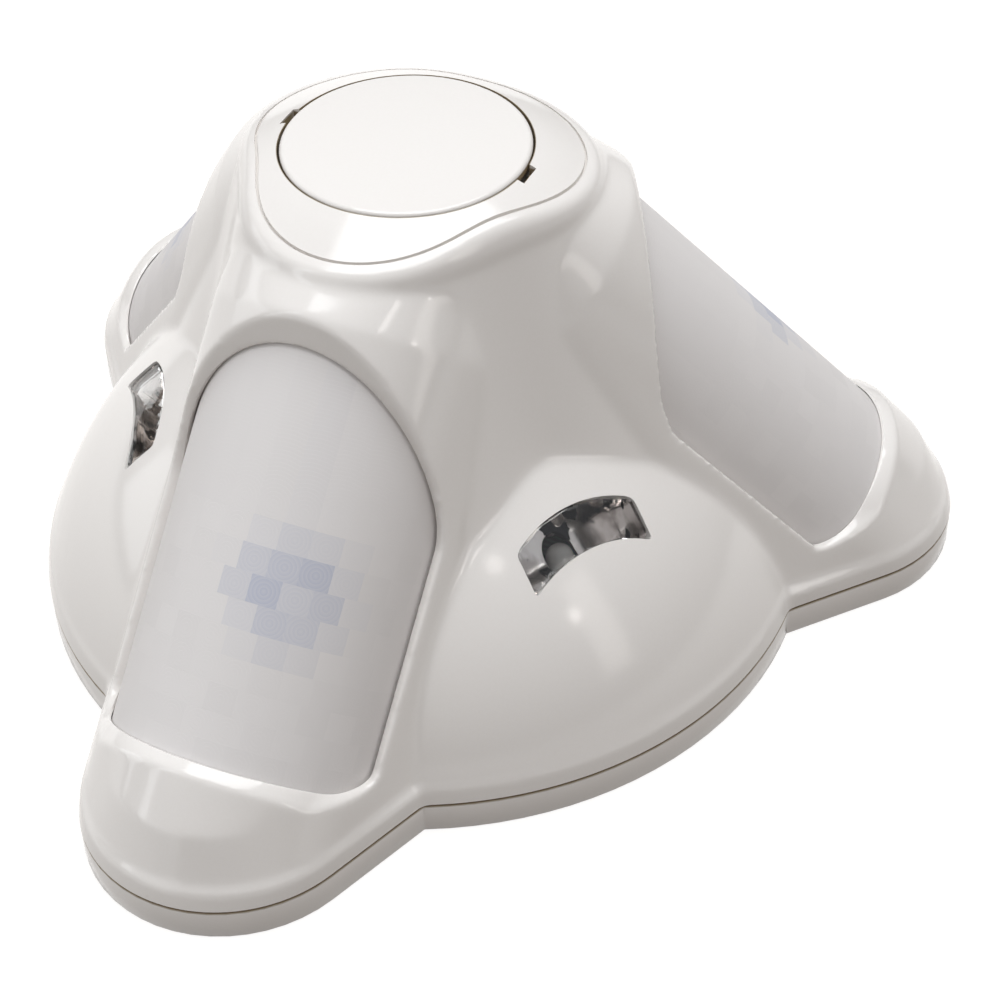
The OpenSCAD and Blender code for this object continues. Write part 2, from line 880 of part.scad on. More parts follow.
module capacitors() {
    can_r = 3.2;
    can_h = 8;
    neck = 0.4;
    color("#2B3A5A")
        for (s = [-1, 1])
            rotate(DOMES[2])
                translate([trimmer_at, 14 * s, board_top])
                    rotate_extrude()
                        polygon([
                            [0, 0], [can_r, 0], [can_r, 1], [can_r - neck, 1.5], [can_r, 2],
                            [can_r, can_h - neck], [can_r - neck, can_h], [0, can_h]
                        ]);
}

module controller_chip() {
    body = 7;
    body_h = 1.4;
    lift = 0.2;
    pins = 6;
    pin = [1.2, 0.4, 0.5];
    color(BLACK)
        rotate(DOMES[0])
            translate([led_at - 8.8, 0, board_top]) {
                translate([0, 0, lift])
                    cut_plate(body, body, body_h, 0.4);
                for (q = [0 : 90 : 270], i = [0 : pins - 1])
                    rotate(q)
                        translate([body / 2 - eps, (i - (pins - 1) / 2) - pin[1] / 2, 0])
                            cube(pin);
            }
}

// Square switch body with its plunger hole in the top
module switch_body(h) {
    difference() {
        cut_plate(switch_w, switch_w, h, 0.6);
        translate([0, 0, h - plunger_hole_d])
            cylinder(h = plunger_hole_d + 1, r = plunger_r + slide_gap);
    }
}

module tamper_switch() {
    color(BLACK)
        rotate(DOMES[0])
            translate([led_at + tamper_at, 0, board_top])
                switch_body(tamper_h);
}

module tamper_plunger() {
    inside = plunger_hole_d - 0.8;
    color("#D9D9D6")
        rotate(DOMES[0])
            translate([led_at + tamper_at, 0, board_top + tamper_h - inside])
                cylinder(h = inside + tamper_plunger_h, r = plunger_r);
}

module rear_tamper_switch() {
    color(BLACK)
        rotate(rear_turn)
            translate([rear_at, 0, board_z])
                rotate([180, 0, 0])
                    switch_body(rear_switch_h);
}

module rear_tamper_plunger() {
    top = board_z - rear_switch_h + plunger_hole_d - 0.4;
    color("#D9D9D6")
        rotate(rear_turn)
            translate([rear_at, 0, seat_gap])
                cylinder(h = top - seat_gap, r = plunger_r);
}

module trimmer_body() {
    color(SETTING)
        rotate(DOMES[2])
            translate([trimmer_at, 0, board_top])
                difference() {
                    cut_plate(trimmer_w, trimmer_w, trimmer_h, 0.6);
                    translate([0, 0, trimmer_h - rotor_h])
                        cylinder(h = rotor_h + 1, r = rotor_r + slide_gap);
                }
}

module trimmer_rotor() {
    slot = [2 * rotor_r * 0.75, 0.7, 0.8];
    color("#E4E1D8")
        rotate(DOMES[2])
            translate([trimmer_at, 0, board_top + trimmer_h - rotor_h + slide_gap])
                difference() {
                    cylinder(h = rotor_h, r = rotor_r);
                    translate([-slot[0] / 2, -slot[1] / 2, rotor_h - slot[2]])
                        cube([slot[0], slot[1], 2 * slot[2]]);
                }
}

// Place of one setting switch along its bank
module at_dip(i) {
    rotate(DOMES[0])
        translate([dip_at, (i - (dip_count - 1) / 2) * dip_pitch, board_top + dip_h])
            children();
}

module dip_switch() {
    color(SETTING)
        difference() {
            rotate(DOMES[0])
                translate([dip_at, 0, board_top])
                    cut_plate(dip_w, dip_count * dip_pitch + 1, dip_h, 0.4);
            for (i = [0 : dip_count - 1])
                at_dip(i)
                    translate([-dip_slot_l / 2, -slider_w / 2 - slide_gap, -dip_slot_d])
                        cube([dip_slot_l, slider_w + 2 * slide_gap, 2 * dip_slot_d]);
        }
}

module dip_slider(i) {
    color("#F0EEE8")
        at_dip(i)
            translate([slide_gap - dip_slot_l / 2, -slider_w / 2, slide_gap - dip_slot_d])
                cube([slider_l, slider_w, dip_slot_d + slider_up - slide_gap]);
}

module front_cover() {
    color(SHELL)
        difference() {
            union() {
                translate([0, 0, split_z])
                    linear_extrude(skirt_h, scale = skirt_scale)
                        polygon(plan_outline(0));
                dome_ball(dome_r, skirt_z - eps);
                tower();
                crown();
                for (a = LEGS)
                    rotate(a)
                        leg();
            }
            translate([-far, -far, split_z - 2 * far])
                cube(2 * far);
            cover_hollow();
            for (a = LEGS)
                rotate(a)
                    tilt()
                        lens_pocket();
            for (a = DOMES)
                rotate(a)
                    dome_tilt()
                        window_column(0);
            translate([0, 0, recess_z])
                cylinder(h = far, r = recess_r);
            translate([0, 0, cavity_z - far / 2])
                cylinder(h = far, r = cover_screw_r + screw_gap);
            translate([-recess_r - pry_out, -pry_w / 2, cap_top - pry_d])
                cube([2 * (recess_r + pry_out), pry_w, far]);
        }
}

module lens(a) {
    color(LENS)
        rotate(a)
            tilt()
                intersection() {
                    difference() {
                        lens_bar(-far / 2, far / 2, lens_r);
                        lens_bar(-far, far, lens_r - lens_t);
                    }
                    translate([0, 0, 1])
                        linear_extrude(lens_r)
                            polygon(lens_outline(lens_flange));
                }
}

module lens_frame(a) {
    frame_r = lens_r - lens_t - seat_gap;
    color(MOULD)
        rotate(a)
            tilt()
                intersection() {
                    difference() {
                        lens_bar(-far / 2, far / 2, frame_r);
                        lens_bar(-far, far, frame_r - frame_t);
                    }
                    translate([0, 0, 1])
                        linear_extrude(lens_r)
                            difference() {
                                polygon(lens_outline(lens_flange));
                                polygon(lens_outline(-frame_w));
                            }
                }
}

module window(a) {
    flange_r = dome_r - cover_wall - seat_gap;
    color(CLEAR)
        rotate(a)
            dome_tilt() {
                intersection() {
                    ball_shell(flange_r - window_flange_t, dome_r - window_sink);
                    window_column(-seat_gap);
                }
                intersection() {
                    ball_shell(flange_r - window_flange_t, flange_r);
                    window_column(window_flange);
                }
            }
}

module reflector(a) {
    top_r = dome_r - cover_wall - window_flange_t - 2 * seat_gap;
    low_r = top_r - reflector_d;
    color(CHROME)
        difference() {
            rotate(a)
                dome_tilt()
                    difference() {
                        intersection() {
                            ball_shell(low_r, top_r);
                            window_column(reflector_slack + reflector_t);
                        }
                        difference() {
                            window_column(reflector_slack);
                            sphere(low_r + reflector_t);
                        }
                    }
            rotate(a)
                translate([led_at, 0, 0])
                    cylinder(h = far, r = led_r + 0.6);
        }
}

module cover_screw() {
    slot_w = 0.9;
    reach = post_z - insert_h;
    color(STEEL)
        difference() {
            union() {
                translate([0, 0, recess_z])
                    cylinder(h = screw_head_h, r1 = screw_head_r, r2 = screw_head_r * 0.8);
                translate([0, 0, reach])
                    cylinder(h = recess_z - reach + eps, r = cover_screw_r);
            }
            for (q = [0, 90])
                rotate(q)
                    translate([-screw_head_r / 2, -slot_w / 2, recess_z + screw_head_h / 2])
                        cube([screw_head_r, slot_w, screw_head_h]);
        }
}

module cap() {
    disc_z = cap_top - cap_disc_t;
    color(SHELL)
        rotate_extrude()
            polygon([
                [0, disc_z], [snap_r - snap_t, disc_z], [snap_r - snap_t, disc_z - snap_h],
                [snap_r, disc_z - snap_h], [snap_r, disc_z], [cap_r, disc_z],
                [cap_r, cap_top - cap_bevel], [cap_r - cap_bevel, cap_top], [0, cap_top]
            ]);
}

base();
main_board();
board_screws();
sensor_carrier();
carrier_screws();
threaded_insert();
sensor_board(LEGS[0]);  // sensor_board_1
sensor_board(LEGS[1]);  // sensor_board_2
sensor_board(LEGS[2]);  // sensor_board_3
pyro_sensor(LEGS[0]);  // pyro_sensor_1
pyro_sensor(LEGS[1]);  // pyro_sensor_2
pyro_sensor(LEGS[2]);  // pyro_sensor_3
led_spacers();
indicator_led(DOMES[0]);  // indicator_led_1
indicator_led(DOMES[1]);  // indicator_led_2
indicator_led(DOMES[2]);  // indicator_led_3
terminal_block();
terminal_screws();
relay();
capacitors();
controller_chip();
tamper_switch();
tamper_plunger();
rear_tamper_switch();
rear_tamper_plunger();
trimmer_body();
trimmer_rotor();
dip_switch();
dip_slider(0);  // dip_slider_1
dip_slider(1);  // dip_slider_2
dip_slider(2);  // dip_slider_3
dip_slider(3);  // dip_slider_4
front_cover();
lens(LEGS[0]);  // lens_1
lens(LEGS[1]);  // lens_2
lens(LEGS[2]);  // lens_3
lens_frame(LEGS[0]);  // lens_frame_1
lens_frame(LEGS[1]);  // lens_frame_2
lens_frame(LEGS[2]);  // lens_frame_3
window(DOMES[0]);  // window_1
window(DOMES[1]);  // window_2
window(DOMES[2]);  // window_3
reflector(DOMES[0]);  // reflector_1
reflector(DOMES[1]);  // reflector_2
reflector(DOMES[2]);  // reflector_3
cover_screw();
cap();
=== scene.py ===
import json
from math import asin, cos, exp, log, pi, radians, sin, sqrt, tan

import bpy
from mathutils import Matrix, Vector

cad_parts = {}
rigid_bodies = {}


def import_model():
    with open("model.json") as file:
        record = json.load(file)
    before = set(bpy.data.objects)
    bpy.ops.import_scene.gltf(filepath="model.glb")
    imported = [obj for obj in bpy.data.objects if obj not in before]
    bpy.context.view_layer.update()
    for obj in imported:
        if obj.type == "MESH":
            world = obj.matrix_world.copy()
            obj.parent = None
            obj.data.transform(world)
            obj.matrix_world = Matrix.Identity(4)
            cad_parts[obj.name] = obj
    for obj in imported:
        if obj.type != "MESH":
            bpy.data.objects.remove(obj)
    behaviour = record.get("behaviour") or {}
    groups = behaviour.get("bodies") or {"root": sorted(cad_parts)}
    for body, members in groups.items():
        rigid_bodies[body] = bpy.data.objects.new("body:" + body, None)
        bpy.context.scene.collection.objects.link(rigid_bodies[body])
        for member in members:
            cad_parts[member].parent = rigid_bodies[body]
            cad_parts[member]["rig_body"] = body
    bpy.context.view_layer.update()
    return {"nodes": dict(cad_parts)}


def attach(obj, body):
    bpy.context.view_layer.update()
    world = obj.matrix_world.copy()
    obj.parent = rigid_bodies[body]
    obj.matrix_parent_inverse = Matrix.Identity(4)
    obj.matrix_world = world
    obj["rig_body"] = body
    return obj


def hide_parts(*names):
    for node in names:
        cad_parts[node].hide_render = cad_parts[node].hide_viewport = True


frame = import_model()
scene = bpy.context.scene
scene.view_settings.view_transform = "Standard"


# Camera: it looks down on the front leg from its right, as a hand-held camera above a table.
# A long lens keeps the tower's sides nearly parallel.
camera_at = (0.166834, -0.311289, 0.323669)
camera_right = (0.90713694, 0.42042579, -0.01856702)
camera_up = (-0.2658881, 0.60677804, 0.74908205)
camera_back = (0.32620, -0.67458, 0.66222)
bpy.ops.object.select_all(action="DESELECT")
bpy.ops.object.camera_add()
camera = bpy.context.object
camera.matrix_world = Matrix([
        [camera_right[i], camera_up[i], camera_back[i], camera_at[i]] for i in range(3)
    ] + [[0, 0, 0, 1]])
camera.data.lens = 86.8
camera.data.sensor_width = 36
scene.camera = camera


# Floor: a sheet of white paper that runs far out of view.
# It is white to the eye and in reflections, and still takes the housing's shadow.
class Wire:
    """An output of a material's nodes. Arithmetic on it adds the nodes that work it out."""

    def __init__(self, socket):
        self.socket = socket

    def node(self, kind, settings, values, output=0):
        tree = self.socket.id_data
        made = tree.nodes.new(kind)
        for name, value in settings.items():
            setattr(made, name, value)
        for name, value in values.items():
            if isinstance(value, Wire):
                tree.links.new(value.socket, made.inputs[name])
            else:
                made.inputs[name].default_value = value
        return Wire(made.outputs[output])

    def math(self, operation, *values):
        return self.node("ShaderNodeMath", {"operation": operation}, dict(enumerate(values)))

    def __add__(self, other):
        return self.math("ADD", self, other)

    def __sub__(self, other):
        return self.math("SUBTRACT", self, other)

    def __rsub__(self, other):
        return self.math("SUBTRACT", other, self)

    def __mul__(self, other):
        return self.math("MULTIPLY", self, other)

    def __truediv__(self, other):
        return self.math("DIVIDE", self, other)

    def __gt__(self, other):
        return self.math("GREATER_THAN", self, other)

    __radd__ = __add__
    __rmul__ = __mul__

    def within(self, low, high):
        """0 below low, 1 above high, and a soft step between."""
        return self.node(
            "ShaderNodeMapRange", {"interpolation_type": "SMOOTHSTEP"},
            {"Value": self, "From Min": low, "From Max": high}
        )

    def mix(self, colour_a, colour_b):
        """Goes from one colour to the other as this value goes from 0 to 1."""
        return self.node(
            "ShaderNodeMix", {"data_type": "RGBA"}, {0: self, 6: colour_a, 7: colour_b}, 2
        )

    def noise(self, grain, detail=2.0):
        """Cloudy values about 0.5 over this vector, with blotches of that size."""
        return self.node(
            "ShaderNodeTexNoise", {}, {"Vector": self, "Scale": 1 / grain, "Detail": detail}
        )

    def axis(self, number):
        """X, Y or Z of this vector, as 0, 1 or 2."""
        return self.node("ShaderNodeSeparateXYZ", {}, {0: self}, number)

    def bump(self, distance, strength=1.0):
        """A normal that makes this value stand out by that much."""
        return self.node(
            "ShaderNodeBump", {}, {"Height": self, "Distance": distance, "Strength": strength}
        )


def finish(name, **plain):
    """A new material with these plain settings, its shader and its Object coordinates."""
    made = bpy.data.materials.new(name)
    made.use_nodes = True
    shader = made.node_tree.nodes["Principled BSDF"]
    for socket, value in plain.items():
        shader.inputs[socket.replace("_", " ")].default_value = value
    place = made.node_tree.nodes.new("ShaderNodeTexCoord")
    return made, shader, Wire(place.outputs["Object"])


def feed(shader, **wires):
    """Links wires to the shader's sockets."""
    for socket, wire in wires.items():
        shader.id_data.links.new(wire.socket, shader.inputs[socket.replace("_", " ")])


floor_reach = 30.0
floor_drop = 0.0002
floor_glow = 0.9
bpy.ops.object.select_all(action="DESELECT")
bpy.ops.mesh.primitive_circle_add(
    vertices=64, radius=floor_reach, fill_type="NGON", location=(0, 0, -floor_drop)
)
floor = bpy.context.object
floor.name = "paper_floor"
paper, paper_shader, paper_place = finish(
    "white_paper", Roughness=0.9, Base_Color=(0.19, 0.165, 0.14, 1)
)
ray = paper.node_tree.nodes.new("ShaderNodeLightPath")
seen = Wire(ray.outputs["Is Camera Ray"]) + Wire(ray.outputs["Is Glossy Ray"]) \
    + Wire(ray.outputs["Is Transmission Ray"])
glow = paper_place.node("ShaderNodeEmission", {}, {"Strength": seen * floor_glow})
both = paper_place.node("ShaderNodeAddShader", {}, {0: Wire(paper_shader.outputs[0]), 1: glow})
paper.node_tree.links.new(
    both.socket, paper.node_tree.nodes["Material Output"].inputs["Surface"]
)
floor.data.materials.append(paper)


# Light: a broad soft light overhead, a tall window on each side, weak fills on the left and in
# front, and two small lamps that make the bright spots. The room is darker at the horizon.
def soft_light(name, turn, rise, away, width, height, power, colour):
    """An area light that looks at the middle of the housing from that direction."""
    middle = Vector((0, 0, 0.04))
    towards = Vector((
        sin(radians(turn)) * cos(radians(rise)), -cos(radians(turn)) * cos(radians(rise)),
        sin(radians(rise))
    ))
    bpy.ops.object.light_add(type="AREA", location=middle + away * towards)
    lamp = bpy.context.object
    lamp.name = name
    lamp.rotation_euler = towards.to_track_quat("Z", "Y").to_euler()
    lamp.data.shape = "RECTANGLE"
    lamp.data.size = width
    lamp.data.size_y = height
    lamp.data.energy = power
    lamp.data.color = colour


daylight = (0.96, 0.985, 1.0)
lamplight = (1.0, 0.96, 0.92)
soft_light("overhead", 180, 84, 1.0, 0.8, 0.8, 8.4, daylight)
soft_light("right_window", 80, 21, 0.8, 0.13, 0.4, 0.3, lamplight)
soft_light("left_window", -42, 29, 0.9, 0.1, 0.75, 0.5, daylight)
soft_light("left_fill", -75, 15, 0.9, 0.5, 0.4, 1.0, daylight)
soft_light("front_fill", -25, 8, 1.0, 0.6, 0.3, 0.55, daylight)
soft_light("lamp", 74, 26, 0.75, 0.035, 0.05, 0.05, lamplight)
soft_light("glint", 57, 49, 0.8, 0.06, 0.06, 0.06, lamplight)

room = bpy.data.worlds.new("room")
scene.world = room
room.use_nodes = True
room_air = room.node_tree.nodes["Background"]
room_place = Wire(room.node_tree.nodes.new("ShaderNodeTexCoord").outputs["Generated"])
room_low, room_high = (0.13, 0.108, 0.092, 1), (0.46, 0.465, 0.485, 1)
room_tone = room_place.axis(2).within(-0.1, 0.9).mix(room_low, room_high)
room.node_tree.links.new(room_tone.socket, room_air.inputs["Color"])


# Base: a shallow injection-moulded tray of glossy off-white ABS that is screwed to the ceiling.
# Its rim carries a tongue for the cover, and posts hold the circuit board.
def pick(piece):
    """Makes this the only selected object."""
    bpy.ops.object.select_all(action="DESELECT")
    piece.hide_set(False)
    piece.select_set(True)
    bpy.context.view_layer.objects.active = piece


def apply(piece, kind, **settings):
    """Adds a modifier and applies it at once."""
    pick(piece)
    made = piece.modifiers.new(kind.lower(), kind)
    for name, value in settings.items():
        setattr(made, name, value)
    bpy.ops.object.modifier_apply(modifier=made.name)


def smooth(piece, turn=35):
    """Shades round surfaces smooth and keeps edges sharper than this turn."""
    pick(piece)
    bpy.ops.object.shade_smooth_by_angle(angle=radians(turn))


def settle(piece, material, body, slot, *nodes):
    """Gives a piece its finish and its body, and hides the nodes that it stands for."""
    piece.data.materials.clear()
    piece.data.materials.append(material)
    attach(piece, body)
    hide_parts(*nodes)


def eased(node, material, slot, ease=0.0002, steps=2):
    """A copy of a moulded or machined part whose sharp edges are eased."""
    source = frame["nodes"][node]
    piece = bpy.data.objects.new(node + "_finished", source.data.copy())
    scene.collection.objects.link(piece)
    pick(piece)
    bpy.ops.mesh.customdata_custom_splitnormals_clear()
    bpy.ops.object.mode_set(mode="EDIT")
    bpy.ops.mesh.select_all(action="SELECT")
    bpy.ops.mesh.remove_doubles(threshold=2e-6)
    bpy.ops.mesh.dissolve_limited(angle_limit=radians(0.5))
    bpy.ops.object.mode_set(mode="OBJECT")
    apply(
        piece, "BEVEL", width=ease, segments=steps, limit_method="ANGLE",
        angle_limit=radians(40), use_clamp_overlap=True, harden_normals=False
    )
    smooth(piece)
    settle(piece, material, source["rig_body"], slot, node)


def glossy_abs(name, colour, shade, roughness, where_dirt_and_shade=None):
    """Off-white ABS with a polished skin, faint yellowing in patches, and brown in its gaps that is
    dirt and painted shade.
    """
    made, shader, place = finish(name, Specular_IOR_Level=0.5, IOR=1.53)
    patches = place.noise(0.05, 2)
    grain = place.noise(0.0005, 2)
    tone = (patches * 0.5 + grain - 0.25).mix(colour, shade)
    # Painted shade: the brown in the gaps stands partly for dirt and partly for the shade that
    # falls in them.
    dirt_and_painted_shade = (0.3, 0.235, 0.15, 1)
    if where_dirt_and_shade:
        tone = where_dirt_and_shade(place).mix(tone, dirt_and_painted_shade)
    dullness = patches * 0.05 + (roughness - 0.025)
    waves = place.noise(0.009, 1)
    feed(shader, Base_Color=tone, Roughness=dullness, Normal=waves.bump(0.00005, 0.3))
    return made


shell_colour = (0.835, 0.805, 0.775, 1)
shell_shade = (0.815, 0.78, 0.745, 1)
shell_gloss = 0.12
rim_z = 0.0063
split_z = 0.0066


def dirt_and_shade_under_the_cover(place):
    """The ledge of the rim and the foot of its tongue, where the cover's edge comes down. Brown is
    painted there as dirt and as the shade in the parting line.
    """
    level = place.axis(2)
    from_rim = level.within(rim_z - 0.0006, rim_z - 0.0002)
    return from_rim * (1 - level.within(split_z, split_z + 0.0004))


base_abs = glossy_abs("base_abs", shell_colour, shell_shade, shell_gloss, dirt_and_shade_under_the_cover)
base_edge = 0.0004
eased("base", base_abs, "shell", base_edge)


# Main board: glass-fibre laminate with a green solder mask over copper tracks.
# Three screws hold it on the posts of the base.
def square_patches(place, per_metre, channel):
    """A random value for each square patch of a surface."""
    patches = place.node(
        "ShaderNodeTexVoronoi", {"distance": "CHEBYCHEV", "feature": "F1"},
        {"Vector": place, "Scale": per_metre, "Randomness": 0.9}, 1
    )
    return patches.node("ShaderNodeSeparateColor", {}, {0: patches}, channel)


def solder_masked(name, mask, track):
    """Solder mask over straight tracks that run either way, with tinned pads."""
    made, shader, place = finish(name, Roughness=0.35, Specular_IOR_Level=0.5)
    cells = place.node(
        "ShaderNodeTexVoronoi", {"feature": "F1"},
        {"Vector": place, "Scale": 210.0, "Randomness": 0.6}
    )
    pads = 1 - cells.within(0.10, 0.13)
    areas_per_metre, track_pitch = 85.0, 0.0013
    lengthwise = square_patches(place, areas_per_metre, 0) > 0.5
    routed = square_patches(place, areas_per_metre, 1) > 0.3
    across = (place.axis(0) * lengthwise + place.axis(1) * (1 - lengthwise)) / track_pitch
    from_middle = across.math("PINGPONG", across, 0.5)
    tracks = (1 - from_middle.within(0.16, 0.22)) * routed
    laminate = place.noise(0.0006, 1).mix(mask, tuple(0.8 * c for c in mask[:3]) + (1,))
    covered = (tracks * 0.7).mix(laminate, track)
    tinned = pads.mix(covered, (0.55, 0.55, 0.53, 1))
    relief = tracks * 0.6 + pads
    feed(
        shader, Base_Color=tinned, Metallic=pads * 0.9,
        Roughness=place.noise(0.002) * 0.2 + 0.25, Normal=relief.bump(0.00008)
    )
    return made


green_mask = solder_masked("green_solder_mask", (0.015, 0.11, 0.04, 1), (0.04, 0.2, 0.08, 1))
eased("main_board", green_mask, "circuit_board")
for leg in (1, 2, 3):
    eased(f"sensor_board_{leg}", green_mask, "circuit_board")


# Screws: zinc-plated steel, with a cross recess, driven into the base and into the carrier.
# The slotted screws of the terminal block are of the same wire.
def plated(name, colour, roughness):
    """Plated or polished metal with fine turning marks and dull patches."""
    made, shader, place = finish(name, Metallic=1.0)
    marks = place.node(
        "ShaderNodeTexNoise", {},
        {
            "Vector": place.node("ShaderNodeMapping", {}, {"Vector": place, "Scale": (1, 1, 8)}),
            "Scale": 2500.0, "Detail": 2.0
        }
    )
    dull = place.noise(0.004, 3)
    tone = dull.within(0.3, 0.75).mix(colour, tuple(0.75 * c for c in colour[:3]) + (1,))
    feed(
        shader, Base_Color=tone, Roughness=dull * 0.2 + marks * 0.1 + (roughness - 0.15),
        Normal=marks.bump(0.00003)
    )
    return made


zinc = plated("zinc_plated_steel", (0.56, 0.57, 0.58, 1), 0.32)
for screws in ("board_screws", "carrier_screws", "terminal_screws"):
    eased(screws, zinc, "screw_steel", 0.00015)


# Sensor carrier: a grey-white ABS moulding whose ribs hold the three sensor boards.
# A brass insert with a thread is pressed into its post.
mould_abs = glossy_abs("satin_abs", (0.66, 0.64, 0.6, 1), (0.62, 0.6, 0.56, 1), 0.42)
eased("sensor_carrier", mould_abs, "inner_mould", 0.0003)
for leg in (1, 2, 3):
    eased(f"lens_frame_{leg}", mould_abs, "inner_mould")
brass = plated("brass", (0.62, 0.44, 0.17, 1), 0.3)
eased("threaded_insert", brass, "brass")


# Sensor cans: nickel-plated steel cups with a recessed square opening for the infrared light.
# Each is soldered to its own small board.
nickel = plated("nickel_can", (0.6, 0.59, 0.55, 1), 0.28)
for leg in (1, 2, 3):
    eased(f"pyro_sensor_{leg}", nickel, "sensor_can")


# Parts on the main board: black relay, chip and tamper switches, green terminal block, sleeved
# capacitors, blue trimmer and setting switches, all of them soldered, and nylon lamp spacers.
def tinted(name, colour, roughness, **plain):
    """Moulded plastic of one colour with a fine erosion grain."""
    made, shader, place = finish(name, **plain)
    patches = place.noise(0.008, 3)
    grain = place.noise(0.00035, 2)
    tone = patches.within(0.3, 0.7).mix(colour, tuple(0.85 * c for c in colour[:3]) + (1,))
    feed(
        shader, Base_Color=tone, Roughness=patches * 0.15 + (roughness - 0.07),
        Normal=grain.bump(0.00004)
    )
    return made


black_plastic = tinted("black_plastic", (0.018, 0.018, 0.02, 1), 0.4)
for part in ("relay", "controller_chip", "tamper_switch", "rear_tamper_switch"):
    eased(part, black_plastic, "black_plastic")
terminal_green = tinted("terminal_green", (0.03, 0.2, 0.06, 1), 0.4)
eased("terminal_block", terminal_green, "terminal_green")
sleeve = tinted("capacitor_sleeve", (0.03, 0.05, 0.12, 1), 0.3)
eased("capacitors", sleeve, "capacitor_sleeve")
setting_blue = tinted("setting_blue", (0.03, 0.12, 0.38, 1), 0.4)
for part in ("trimmer_body", "dip_switch"):
    eased(part, setting_blue, "setting_blue")
pale_nylon = tinted("pale_nylon", (0.7, 0.69, 0.64, 1), 0.45)
nylon_parts = ["tamper_plunger", "rear_tamper_plunger", "trimmer_rotor", "led_spacers"]
for part in nylon_parts + [f"dip_slider_{i}" for i in (1, 2, 3, 4)]:
    eased(part, pale_nylon, "inner_mould", 0.00015)


# Indicator lamps: hazy clear epoxy domes with a rim at their foot, one under each window.
# Each is soldered through its spacer, which holds it up in the reflector.
lamp_clear = tinted("lamp_epoxy", (0.75, 0.73, 0.7, 1), 0.12, Transmission_Weight=0.25, IOR=1.5)
for dome in (1, 2, 3):
    eased(f"indicator_led_{dome}", lamp_clear, "indicator", 0.0001)


# Front cover: one injection moulding of glossy off-white ABS. Three lobes run into a tower, three
# domes and three legs stand round it, and every edge is blended. It drops over the base's tongue.
leg_turns = [radians(turn) for turn in (-90, 30, 150)]
dome_turns = [radians(turn) for turn in (-30, 90, 210)]
skirt_z = 0.0100
dome_r = 0.0776
dome_sink = 0.0172
cover_wall = 0.0025


def join(pieces):
    """Makes one object of several."""
    bpy.ops.object.select_all(action="DESELECT")
    for piece in pieces:
        piece.select_set(True)
    bpy.context.view_layer.objects.active = pieces[0]
    bpy.ops.object.join()
    return bpy.context.object


def skin(rows, filled=True):
    """A sheet through rows of points. Its seam is merged and its open ends are filled."""
    bpy.ops.object.select_all(action="DESELECT")
    bpy.ops.mesh.primitive_grid_add(x_subdivisions=len(rows[0]) - 1, y_subdivisions=len(rows) - 1)
    sheet = bpy.context.object
    sheet.data.vertices.foreach_set("co", [x for row in rows for point in row for x in point])
    if filled:
        bpy.ops.object.mode_set(mode="EDIT")
        bpy.ops.mesh.select_all(action="SELECT")
        bpy.ops.mesh.remove_doubles(threshold=1e-7)
        bpy.ops.mesh.fill_holes(sides=0)
        bpy.ops.mesh.normals_make_consistent(inside=False)
        bpy.ops.object.mode_set(mode="OBJECT")
    return sheet


def turned(piece, turns):
    """Copies of a piece, one for each turn about the tower's axis. The first one is used up."""
    copies = []
    for turn in turns:
        copy = piece.copy()
        copy.data = piece.data.copy()
        copy.data.transform(Matrix.Rotation(turn, 4, "Z"))
        scene.collection.objects.link(copy)
        copies.append(copy)
    bpy.data.objects.remove(piece)
    return copies


def cut(piece, *cutters):
    """Cuts a shape with others, which are used up."""
    for cutter in cutters:
        apply(piece, "BOOLEAN", operation="DIFFERENCE", object=cutter, solver="MANIFOLD")
        bpy.data.objects.remove(cutter)


def clipped(piece, z):
    """Cuts everything below a level away and closes the cut."""
    pick(piece)
    bpy.ops.object.mode_set(mode="EDIT")
    bpy.ops.mesh.select_all(action="SELECT")
    bpy.ops.mesh.bisect(
        plane_co=(0, 0, z), plane_no=(0, 0, 1), use_fill=True, clear_inner=True
    )
    bpy.ops.object.mode_set(mode="OBJECT")
    return piece


# Plan of the housing: round leg ends, sides that widen towards the tower, and the domes' arcs.
leg_end_r = 0.0263
leg_at = 0.0777
leg_taper = radians(20)
dome_edge_r = 0.0736968
skirt_draft = 0.0007


def plan_ring(inset, z, scale=1.0):
    end_r = leg_end_r - inset
    edge_r = dome_edge_r - inset
    notch = asin((leg_at * sin(leg_taper) + end_r) / edge_r) - leg_taper
    tip = pi / 2 - leg_taper
    steps = 24
    ring = []
    for turn in leg_turns:
        for k in range(-steps, steps + 1):
            q = turn + tip * k / steps
            ring.append((leg_at * cos(turn) + end_r * cos(q), leg_at * sin(turn) + end_r * sin(q)))
        for k in range(-steps, steps + 1):
            q = turn + pi / 3 + (pi / 3 - notch) * k / steps
            ring.append((edge_r * cos(q), edge_r * sin(q)))
    ring.append(ring[0])
    return [(x * scale, y * scale, z) for x, y in ring]


skirt_low = 0.004
low_scale = 1 + skirt_draft / dome_edge_r * (split_z - skirt_low) / (skirt_z - split_z)
skirt = skin([
    plan_ring(0, skirt_low, low_scale),
    plan_ring(0, skirt_z, 1 - skirt_draft / dome_edge_r)
])

# Dome ball, which shows between the legs.
bpy.ops.object.select_all(action="DESELECT")
bpy.ops.mesh.primitive_uv_sphere_add(
    segments=180, ring_count=120, radius=dome_r, location=(0, 0, -dome_sink)
)
bpy.ops.object.transform_apply(location=True)
ball_overlap = 0.0005
ball = clipped(bpy.context.object, skirt_z - ball_overlap)

# Tower: three lobes melted into one outline, with a rounded shoulder and a crowned top.
lobe_blend = 0.0045
shoulder_z = 0.0872
lobe_out, lobe_r = 0.0117, 0.0228
lobe_lean, lobe_draft = 0.25, 0.24
ring_out, ring_r = 0.0115, 0.0193
groove_w, groove_d = 0.0005, 0.0007
crown_r = 0.0645
cap_top, cap_r, cap_bevel = 0.0949, 0.022, 0.0005
crown_centre = cap_top - cap_bevel / 2 - sqrt(crown_r ** 2 - cap_r ** 2)
round_steps = 240
round_turns = [2 * pi * k / round_steps for k in range(round_steps + 1)]


